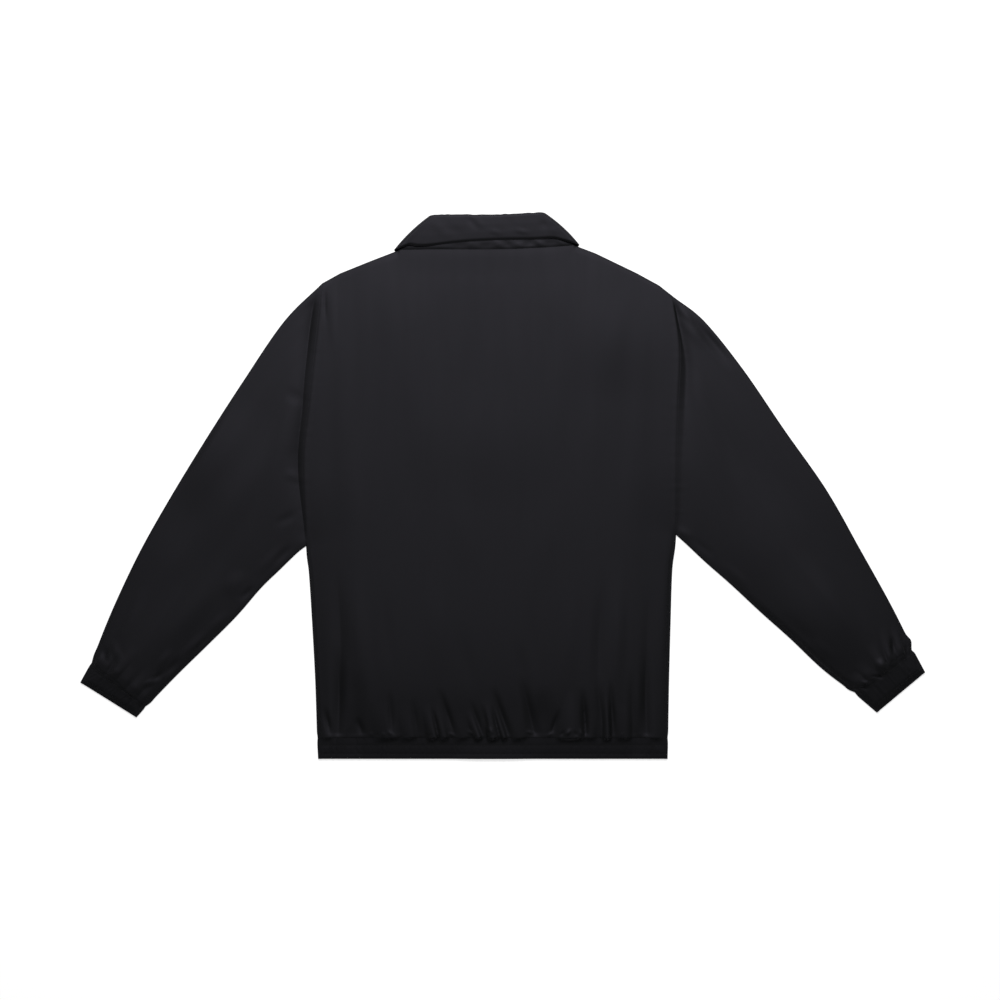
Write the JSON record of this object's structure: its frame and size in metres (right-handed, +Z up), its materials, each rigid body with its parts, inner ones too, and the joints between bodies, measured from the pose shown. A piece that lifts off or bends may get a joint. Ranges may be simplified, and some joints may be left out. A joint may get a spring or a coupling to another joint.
{
  "type": "jacket",
  "caption": "Lightweight jacket laid flat and face down, back up, with a folded collar, set-in sleeves, elastic cuffs and a gathered hem band",
  "frame": {"origin": "on the surface that the jacket lies on, under the middle of its outline", "axes": "+X to the right as one looks down on the back with the collar away, +Y from hem to collar, +Z up from the surface"},
  "size_m": [1.2224, 0.7886, 0.0131],
  "materials": {
    "panel_cloth": "smooth black nylon taffeta with a soft satin sheen",
    "band_cloth": "the same black nylon over elastic, puckered",
    "snap": "plain black snap cap, satin"
  },
  "bodies": {
    "root": {"back": "panel_cloth", "front_left": "panel_cloth", "front_right": "panel_cloth", "sleeve_left": "panel_cloth", "sleeve_right": "panel_cloth", "collar": "panel_cloth", "cuff_left": "band_cloth", "cuff_right": "band_cloth", "hem_back": "band_cloth", "hem_front_left": "band_cloth", "hem_front_right": "band_cloth", "snap_1": "snap", "snap_2": "snap", "snap_3": "snap", "snap_4": "snap", "snap_5": "snap"}
  },
  "joints": []
}
